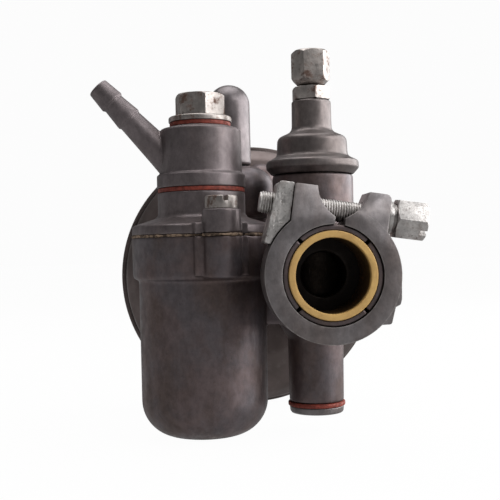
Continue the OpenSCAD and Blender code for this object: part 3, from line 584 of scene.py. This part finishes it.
def sealant_bead():
    """The cover's gasket with dried sealant squeezed out of the joint: its rim swells and wavers."""
    mesh = modified(
        to_mesh(welded("float_cover_gasket")),
        ("REMESH", {"mode": "VOXEL", "voxel_size": 0.16 * MM}),
        ("SMOOTH", {"factor": 0.5, "iterations": 2}),
        ("DECIMATE", {"ratio": 0.4}),
    )
    normals = [v.normal.copy() for v in mesh.vertices]
    for vertex, normal in zip(mesh.vertices, normals):
        out = Vector((normal.x, normal.y, 0))
        if out.length > 0.3:
            squeeze = 0.5 + waves(vertex.co, 260, 1100, 0.4)
            vertex.co += (out + Vector((0, 0, normal.z))) * max(0, squeeze) * BEAD
    mesh.shade_smooth()
    piece("float_cover_gasket_bead", mesh, "float_cover_gasket")


# Clamp bolt: where its head starts, from the joint's place, and its thread
BOLT_NECK = 13 * MM
INTO_HEAD = 0.5 * MM
THREAD_ROOT = 2.6 * MM
THREAD_CREST = 2.93 * MM
THREAD_PITCH = 0.7 * MM
# How far the sealant stands out of the joint
BEAD = 0.3 * MM
# Node: voxel, smoothing passes, share of triangles kept, and crumple of the skin
CASTINGS = {
    "body": (0.36 * MM, 5, 0.29),
    "float_cover": (0.32 * MM, 4, 0.5),
    "fuel_banjo": (0.22 * MM, 2, 0.3),
    "mixing_chamber_cap": (0.26 * MM, 3, 0.5),
    "clamp_nut": (0.18 * MM, 2, 0.6, 0.14 * MM),
    "choke_knob": (0.25 * MM, 6, 0.6),
    "bottom_plug": (0.2 * MM, 2, 0.5),
}
# Node: width of the bevel
MACHINED = {
    "clamp_ring": 0.25 * MM,
    "filter_cover": 0.3 * MM,
    "cable_adjuster": 0.18 * MM,
    "adjuster_locknut": 0.15 * MM,
    "banjo_bolt": 0.2 * MM,
    "cover_screws": 0.15 * MM,
    "idle_screw": 0.15 * MM,
    "insulating_bush": 0.2 * MM,
    "banjo_washer_upper": 0.2 * MM,
    "banjo_washer_lower": 0.2 * MM,
    "bottom_plug_washer": 0.3 * MM,
    "filter_nut": 0.2 * MM,
}
# Node: joint, turns and radius of the wire
SPRINGS = {
    "throttle_spring": ("throttle_lift", 11, 0.5 * MM),
    "choke_spring": ("choke_lift", 9, 0.4 * MM),
}


def make_pieces():
    for node, settings in CASTINGS.items():
        cast(node, *settings)
    for node, width in MACHINED.items():
        crisp(node, width)
    clamp_bolt()
    sealant_bead()
    for node, settings in SPRINGS.items():
        spring(node, *settings)


# ---- studio ----

# The viewer stands in front of the manifold mouth, a little to the left, level with the bore
DISTANCE = 232.5 * MM
MOUTH_RIGHT = 21.8 * MM
MOUTH_DOWN = 6.7 * MM
YAW = math.radians(4.9)
ROLL = math.radians(1.1)
LENS = 64.5


def make_camera():
    right = Vector((math.cos(ROLL) * math.cos(YAW), -math.cos(ROLL) * math.sin(YAW), -math.sin(ROLL)))
    ahead = Vector((math.sin(YAW), math.cos(YAW), 0))
    up = right.cross(ahead)
    data = bpy.data.cameras.new("camera")
    data.lens = LENS
    data.sensor_width = 36
    camera = bpy.data.objects.new("camera", data)
    place = -(right * MOUTH_RIGHT + ahead * DISTANCE - up * MOUTH_DOWN)
    camera.matrix_world = Matrix((
        (right.x, up.x, -ahead.x, place.x),
        (right.y, up.y, -ahead.y, place.y),
        (right.z, up.z, -ahead.z, place.z),
        (0, 0, 0, 1),
    ))
    bpy.context.scene.collection.objects.link(camera)
    bpy.context.scene.camera = camera


def area_light(name, place, target, size, radiance):
    """A rectangular softbox (width, height) that looks equally bright from everywhere."""
    data = bpy.data.lights.new(name, "AREA")
    data.shape = "RECTANGLE"
    data.size, data.size_y = size
    data.energy = radiance * math.pi * size[0] * size[1]
    light = bpy.data.objects.new(name, data)
    light.location = place
    light.rotation_mode = "QUATERNION"
    light.rotation_quaternion = (Vector(target) - Vector(place)).to_track_quat("-Z", "Y")
    bpy.context.scene.collection.objects.link(light)


def for_camera(tree, shown, lighting):
    """A strength that the camera sees as one value and the object is lit by as another."""
    path = tree.nodes.new("ShaderNodeLightPath")
    blend = tree.nodes.new("ShaderNodeMapRange")
    blend.inputs["To Min"].default_value = lighting
    blend.inputs["To Max"].default_value = shown
    tree.links.new(path.outputs["Is Camera Ray"], blend.inputs["Value"])
    return blend.outputs[0]


# Softboxes: place from the object's centre and size (width, height) in metres, then radiance
SOFTBOXES = {
    "key": ((0.5, 0.02, 0.16), (0.95, 0.5), 3.4),
    "top": ((0.0, 0.05, 0.5), (0.5, 0.5), 2.4),
    "front": ((0.28, -0.4, 0.38), (0.3, 0.25), 2.8),
    "left": ((-0.5, 0.3, 0.1), (0.3, 0.4), 0.2),
}
# Strength of the surroundings as the camera sees them, as they light the object, and of the floor
BACKDROP = 0.975
AMBIENT = 0.13
FLOOR_BOUNCE = 0.4
# Radius of the floor, and its gap under the object
FLOOR_R = 4
FLOOR_GAP = 0.4 * MM


def make_light(centre):
    for name, (offset, size, radiance) in SOFTBOXES.items():
        area_light(name, centre + Vector(offset), centre, size, radiance)
    world = bpy.data.worlds.new("studio")
    world.use_nodes = True
    background = world.node_tree.nodes["Background"]
    background.inputs["Color"].default_value = (1, 1, 1, 1)
    strength = for_camera(world.node_tree, BACKDROP, AMBIENT)
    world.node_tree.links.new(strength, background.inputs["Strength"])
    bpy.context.scene.world = world
    bpy.context.scene.view_settings.view_transform = "Standard"


def make_floor(low):
    bpy.ops.mesh.primitive_circle_add(
        vertices=64, radius=FLOOR_R, fill_type="NGON", location=(0, 0, low - FLOOR_GAP))
    floor = bpy.context.object
    floor.name = "floor"
    s = Shader("floor")
    dress(floor, s.finish((0.02, 0.02, 0.02), 0.9, 0.0, 0.0))
    s.bsdf.inputs["Emission Color"].default_value = (1, 1, 1, 1)
    s.link(for_camera(s.tree, BACKDROP, FLOOR_BOUNCE), s.bsdf.inputs["Emission Strength"])


# ---- build ----

materials = make_materials()
dress_frame()
make_pieces()
low, high = cad_box
make_floor(low.z)
make_light((low + high) / 2)
make_camera()
